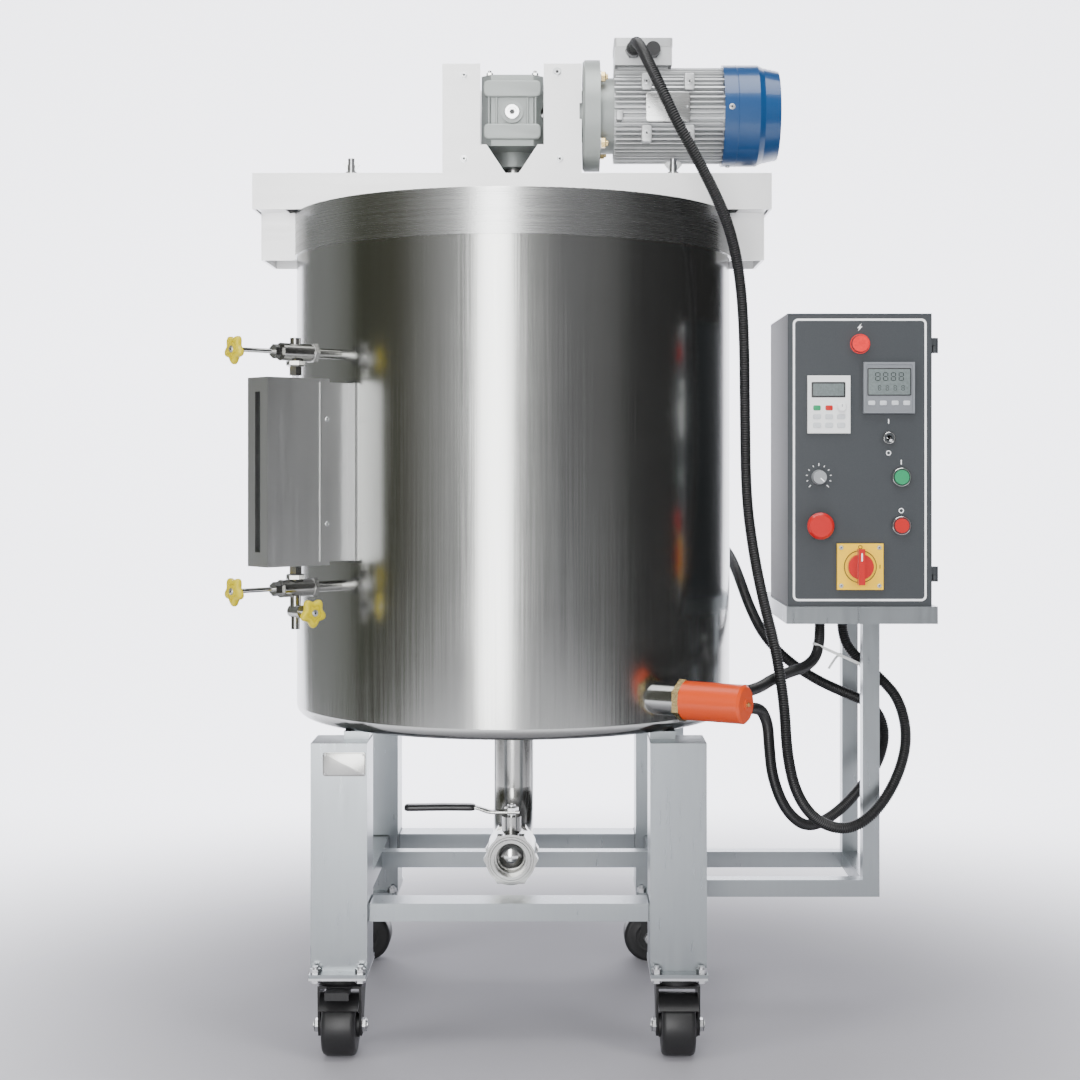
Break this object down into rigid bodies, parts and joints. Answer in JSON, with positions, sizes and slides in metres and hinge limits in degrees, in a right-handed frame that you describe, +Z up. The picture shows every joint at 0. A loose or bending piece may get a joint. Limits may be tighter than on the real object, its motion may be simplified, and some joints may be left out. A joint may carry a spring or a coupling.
{
  "type": "chocolate melting tank",
  "caption": "Jacketed cylindrical melting tank with a motor-driven anchor agitator, drain valve, level gauge and side control cabinet, on a frame with casters.",
  "frame": {"origin": "middle of the footprint of the whole part without its three conduits, at floor level", "axes": "+Z up, -Y towards the operator who faces the cabinet door and the drain valve, +X to the operator's right"},
  "size_m": [1.2112, 0.9763, 1.763],
  "materials": {
    "stainless": "satin",
    "bright_stainless": "brushed",
    "beam_steel": "satin",
    "frame_steel": "satin",
    "gear_paint": "semi-gloss",
    "motor_paint": "cast, painted",
    "cowl_blue": "semi-gloss",
    "black_plastic": "matt",
    "zinc": "zinc plated",
    "rotor_steel": "machined",
    "bronze": "machined",
    "scraper": "matt",
    "cap_orange": "satin",
    "brass": "machined",
    "glass": "clear",
    "wheel_yellow": "gloss",
    "cabinet_paint": "textured",
    "keypad_white": "satin",
    "control_grey": "satin",
    "lamp_red": "gloss",
    "button_green": "gloss",
    "button_red": "gloss",
    "plate_yellow": "satin",
    "knob_grey": "satin",
    "tyre_black": "matt",
    "fork_black": "satin",
    "conduit_grey": "ribbed",
    "valve_steel": "polished"
  },
  "bodies": {
    "stand": {"leg_frame": "frame_steel", "fasteners": "zinc", "caster_plates": "zinc", "arm_frame": "frame_steel", "cabinet_box": "cabinet_paint", "speed_drive": "control_grey", "tank_outer_shell": "bright_stainless", "tank_inner_vessel": "stainless", "rim_band": "bright_stainless", "bearer_lugs": "beam_steel", "cross_beam": "beam_steel", "gearbox_cover": "beam_steel", "gearbox_housing": "gear_paint", "motor_flange": "motor_paint", "motor_frame": "motor_paint", "fan_cowl": "cowl_blue", "terminal_box": "motor_paint", "cable_fittings": "black_plastic", "drain_pipe": "stainless", "valve_body": "valve_steel", "immersion_heater": "brass", "heater_cap": "cap_orange", "gauge_cover": "bright_stainless", "gauge_glass": "glass", "gauge_cocks": "valve_steel", "conduit_motor": "conduit_grey", "conduit_heater": "conduit_grey", "conduit_probe": "conduit_grey", "front_lid": "stainless"},
    "agitator": {"agitator_shaft": "stainless", "worm_wheel": "bronze", "anchor_paddle": "stainless", "scrapers": "scraper"},
    "rotor": {"rotor_shaft": "rotor_steel"},
    "lid": {"rear_lid": "stainless"},
    "valve": {"valve_ball": "valve_steel", "valve_lever": "stainless"},
    "cock_top": {"handwheel_top": "wheel_yellow"},
    "cock_bottom": {"handwheel_bottom": "wheel_yellow"},
    "cock_drain": {"handwheel_drain": "wheel_yellow"},
    "door": {"cabinet_door": "cabinet_paint", "power_lamp": "lamp_red", "drive_keypad": "keypad_white", "temperature_controller": "control_grey", "main_switch_plate": "plate_yellow"},
    "start": {"start_button": "button_green"},
    "stop": {"stop_button": "button_red"},
    "emergency": {"emergency_button": "button_red"},
    "speed": {"speed_knob": "knob_grey"},
    "toggle": {"toggle_lever": "valve_steel"},
    "main_switch": {"main_switch_handle": "button_red"},
    "pedal": {"brake_pedal": "fork_black"},
    "caster_front_left": {"fork_front_left": "fork_black"},
    "roller_front_left": {"wheel_front_left": "tyre_black"},
    "caster_front_right": {"fork_front_right": "fork_black"},
    "roller_front_right": {"wheel_front_right": "tyre_black"},
    "caster_rear_left": {"fork_rear_left": "fork_black"},
    "roller_rear_left": {"wheel_rear_left": "tyre_black"},
    "caster_rear_right": {"fork_rear_right": "fork_black"},
    "roller_rear_right": {"wheel_rear_right": "tyre_black"}
  },
  "joints": [
    {"name": "agitator_turn", "type": "hinge", "parent": "stand", "child": "agitator", "pos_m": [-0.1394, 0.0097, 1], "axis": [0, 0, 1], "continuous": true},
    {"name": "motor_turn", "type": "hinge", "parent": "stand", "child": "rotor", "pos_m": [0.1406, -0.0653, 1.632], "axis": [1, 0, 0], "continuous": true},
    {"name": "lid_hinge", "type": "hinge", "parent": "stand", "child": "lid", "pos_m": [-0.1394, 0.1407, 1.461], "axis": [1, 0, 0], "range_deg": [0, 75]},
    {"name": "valve_turn", "type": "hinge", "parent": "stand", "child": "valve", "pos_m": [-0.1394, -0.1463, 0.38], "axis": [0, 0, 1], "range_deg": [0, 90]},
    {"name": "cock_top_turn", "type": "hinge", "parent": "stand", "child": "cock_top", "pos_m": [-0.58114, -0.40223, 1.186], "axis": [-0.7314, -0.682, 0], "range_deg": [0, 1080]},
    {"name": "cock_bottom_turn", "type": "hinge", "parent": "stand", "child": "cock_bottom", "pos_m": [-0.58114, -0.40223, 0.791], "axis": [-0.7314, -0.682, 0], "range_deg": [0, 1080]},
    {"name": "cock_drain_turn", "type": "hinge", "parent": "stand", "child": "cock_drain", "pos_m": [-0.46566, -0.35744, 0.752], "axis": [0.682, -0.7314, 0], "range_deg": [0, 1080]},
    {"name": "door_hinge", "type": "hinge", "parent": "stand", "child": "door", "pos_m": [0.5991, -0.2053, 1.006], "axis": [0, 0, 1], "range_deg": [0, 110]},
    {"name": "start_press", "type": "slide", "parent": "door", "child": "start", "axis": [0, 1, 0], "range_m": [0, 0.003], "stiffness_N_per_m": 600},
    {"name": "stop_press", "type": "slide", "parent": "door", "child": "stop", "axis": [0, 1, 0], "range_m": [0, 0.003], "stiffness_N_per_m": 600},
    {"name": "emergency_press", "type": "slide", "parent": "door", "child": "emergency", "axis": [0, 1, 0], "range_m": [0, 0.005]},
    {"name": "speed_turn", "type": "hinge", "parent": "door", "child": "speed", "pos_m": [0.3956, -0.2203, 0.976], "axis": [0, -1, 0], "range_deg": [-15, 285]},
    {"name": "toggle_flip", "type": "hinge", "parent": "door", "child": "toggle", "pos_m": [0.5166, -0.2203, 1.044], "axis": [-1, 0, 0], "range_deg": [0, 24]},
    {"name": "main_switch_turn", "type": "hinge", "parent": "door", "child": "main_switch", "pos_m": [0.4666, -0.2203, 0.821], "axis": [0, -1, 0], "range_deg": [0, 90]},
    {"name": "brake_press", "type": "hinge", "parent": "caster_front_left", "child": "pedal", "pos_m": [-0.4244, -0.3206, 0.118], "axis": [1, 0, 0], "range_deg": [0, 15]},
    {"name": "swivel_front_left", "type": "hinge", "parent": "stand", "child": "caster_front_left", "pos_m": [-0.4244, -0.2753, 0.125], "axis": [0, 0, 1], "continuous": true},
    {"name": "roll_front_left", "type": "hinge", "parent": "caster_front_left", "child": "roller_front_left", "pos_m": [-0.4244, -0.2953, 0.05], "axis": [1, 0, 0], "continuous": true},
    {"name": "swivel_front_right", "type": "hinge", "parent": "stand", "child": "caster_front_right", "pos_m": [0.1456, -0.2753, 0.125], "axis": [0, 0, 1], "continuous": true},
    {"name": "roll_front_right", "type": "hinge", "parent": "caster_front_right", "child": "roller_front_right", "pos_m": [0.1456, -0.2953, 0.05], "axis": [1, 0, 0], "continuous": true},
    {"name": "swivel_rear_left", "type": "hinge", "parent": "stand", "child": "caster_rear_left", "pos_m": [-0.4244, 0.2947, 0.125], "axis": [0, 0, 1], "continuous": true},
    {"name": "roll_rear_left", "type": "hinge", "parent": "caster_rear_left", "child": "roller_rear_left", "pos_m": [-0.4444, 0.2947, 0.05], "axis": [0, 1, 0], "continuous": true},
    {"name": "swivel_rear_right", "type": "hinge", "parent": "stand", "child": "caster_rear_right", "pos_m": [0.1456, 0.2947, 0.125], "axis": [0, 0, 1], "continuous": true},
    {"name": "roll_rear_right", "type": "hinge", "parent": "caster_rear_right", "child": "roller_rear_right", "pos_m": [0.1256, 0.2947, 0.05], "axis": [0, 1, 0], "continuous": true}
  ],
  "couplings": [
    {"joint": "motor_turn", "follows": "agitator_turn", "ratio": 60}
  ]
}
